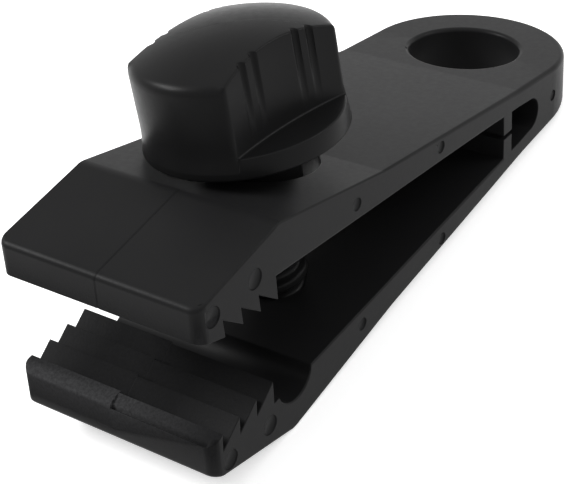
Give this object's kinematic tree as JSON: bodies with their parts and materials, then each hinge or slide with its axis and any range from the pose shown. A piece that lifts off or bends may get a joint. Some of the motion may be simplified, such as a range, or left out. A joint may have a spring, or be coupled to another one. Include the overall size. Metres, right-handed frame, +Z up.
{
  "type": "tarp clip",
  "caption": "Springy toothed sheet clip with a round tie ring, drawn shut by a wing-headed thumb screw through both arms.",
  "frame": {"origin": "centre of the tie hole, half way through the ring", "axes": "+X towards the mouth, +Z up from the surface that the open clip lies on, +Y to the flank nearer the camera"},
  "size_m": [0.134, 0.04, 0.057],
  "materials": {
    "moulding": "fine satin moulded black, pointed with a faint parting line",
    "knob": "satin moulded black",
    "screw": "satin moulded black thread"
  },
  "bodies": {
    "lower_body": {"tie_ring": "moulding", "lower_jaw": "moulding", "flex_strap": "moulding"},
    "upper_body": {"upper_jaw": "moulding"},
    "neck": {"screw_neck": "screw"},
    "thumb_screw": {"screw_stem": "screw", "thumb_knob": "knob"}
  },
  "joints": [
    {"name": "jaw_close", "type": "hinge", "parent": "lower_body", "child": "upper_body", "pos_m": [0.01843, 0, 0.00254], "axis": [0, 1, 0], "range_deg": [0, 10.58], "stiffness_Nm_per_rad": 0.5, "deforming": ["flex_strap"]},
    {"name": "screw_travel", "type": "slide", "parent": "lower_body", "child": "neck", "axis": [0.1084, 0.0958, -0.9895], "range_m": [0, 0.01251]},
    {"name": "screw_turn", "type": "hinge", "parent": "neck", "child": "thumb_screw", "pos_m": [0.0713, 0.0022, -0.00217], "axis": [0.1084, 0.0958, -0.9895], "range_deg": [0, 1125]}
  ],
  "couplings": [
    {"joint": "jaw_close", "follows": "screw_turn", "ratio": 0.0094},
    {"joint": "screw_travel", "follows": "screw_turn", "m_per_rad": 0.00063662}
  ]
}
